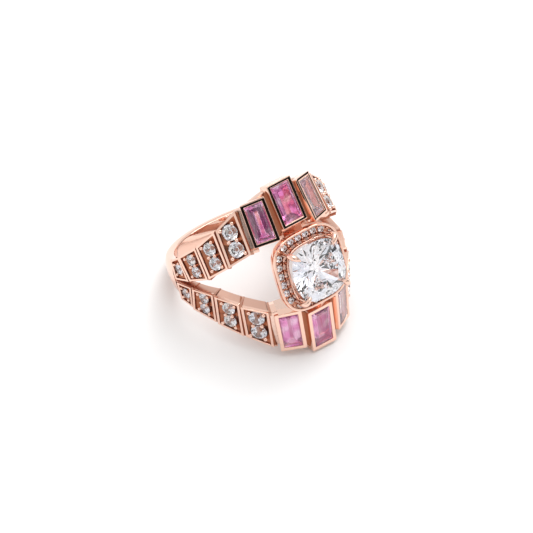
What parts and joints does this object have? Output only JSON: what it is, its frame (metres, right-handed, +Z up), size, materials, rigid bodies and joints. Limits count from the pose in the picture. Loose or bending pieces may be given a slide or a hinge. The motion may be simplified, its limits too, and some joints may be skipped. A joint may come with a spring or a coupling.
{
  "type": "cocktail ring",
  "caption": "Rose-gold split-shank cocktail ring with a cushion-cut halo head, stepped pave arms and bezel-set baguettes, lying on its side.",
  "frame": {"origin": "centre of the bounding box's bottom face, on the table the ring lies on", "axes": "+Z up from the table, +X along the table on the head's side, +Y across the ring; the finger hole's axis leans back from +Z by the resting tilt"},
  "size_m": [0.0234, 0.0198, 0.019],
  "materials": {
    "rose_gold": "polished rose-gold plate",
    "clear_stone": "clear cubic zirconia, polished facets",
    "pink_stone": "deep pink, step cut, polished facets",
    "pale_pink_stone": "pale pink, step cut, polished facets"
  },
  "bodies": {
    "root": {"centre_stone": "clear_stone", "gallery": "rose_gold", "halo_plate": "rose_gold", "left_halo_stones": "clear_stone", "lower_bezel_bridge": "rose_gold", "lower_halo_stones": "clear_stone", "lower_left_baguette": "pink_stone", "lower_left_bezel": "rose_gold", "lower_left_claw": "rose_gold", "lower_left_step_1_single_stone": "clear_stone", "lower_left_step_2_inner_stone": "clear_stone", "lower_left_step_2_outer_stone": "clear_stone", "lower_left_step_3_inner_stone": "clear_stone", "lower_left_step_3_outer_stone": "clear_stone", "lower_left_step_4_inner_stone": "clear_stone", "lower_left_step_4_outer_stone": "clear_stone", "lower_left_stepped_arm": "rose_gold", "lower_middle_baguette": "pink_stone", "lower_middle_bezel": "rose_gold", "lower_right_baguette": "pale_pink_stone", "lower_right_bezel": "rose_gold", "lower_right_claw": "rose_gold", "lower_right_step_1_single_stone": "clear_stone", "lower_right_step_2_inner_stone": "clear_stone", "lower_right_step_2_outer_stone": "clear_stone", "lower_right_step_3_inner_stone": "clear_stone", "lower_right_step_3_outer_stone": "clear_stone", "lower_right_step_4_inner_stone": "clear_stone", "lower_right_step_4_outer_stone": "clear_stone", "lower_right_stepped_arm": "rose_gold", "right_halo_stones": "clear_stone", "shank": "rose_gold", "upper_bezel_bridge": "rose_gold", "upper_halo_stones": "clear_stone", "upper_left_baguette": "pink_stone", "upper_left_bezel": "rose_gold", "upper_left_claw": "rose_gold", "upper_left_step_1_single_stone": "clear_stone", "upper_left_step_2_inner_stone": "clear_stone", "upper_left_step_2_outer_stone": "clear_stone", "upper_left_step_3_inner_stone": "clear_stone", "upper_left_step_3_outer_stone": "clear_stone", "upper_left_step_4_inner_stone": "clear_stone", "upper_left_step_4_outer_stone": "clear_stone", "upper_left_stepped_arm": "rose_gold", "upper_middle_baguette": "pink_stone", "upper_middle_bezel": "rose_gold", "upper_right_baguette": "pale_pink_stone", "upper_right_bezel": "rose_gold", "upper_right_claw": "rose_gold", "upper_right_step_1_single_stone": "clear_stone", "upper_right_step_2_inner_stone": "clear_stone", "upper_right_step_2_outer_stone": "clear_stone", "upper_right_step_3_inner_stone": "clear_stone", "upper_right_step_3_outer_stone": "clear_stone", "upper_right_step_4_inner_stone": "clear_stone", "upper_right_step_4_outer_stone": "clear_stone", "upper_right_stepped_arm": "rose_gold"}
  },
  "joints": []
}
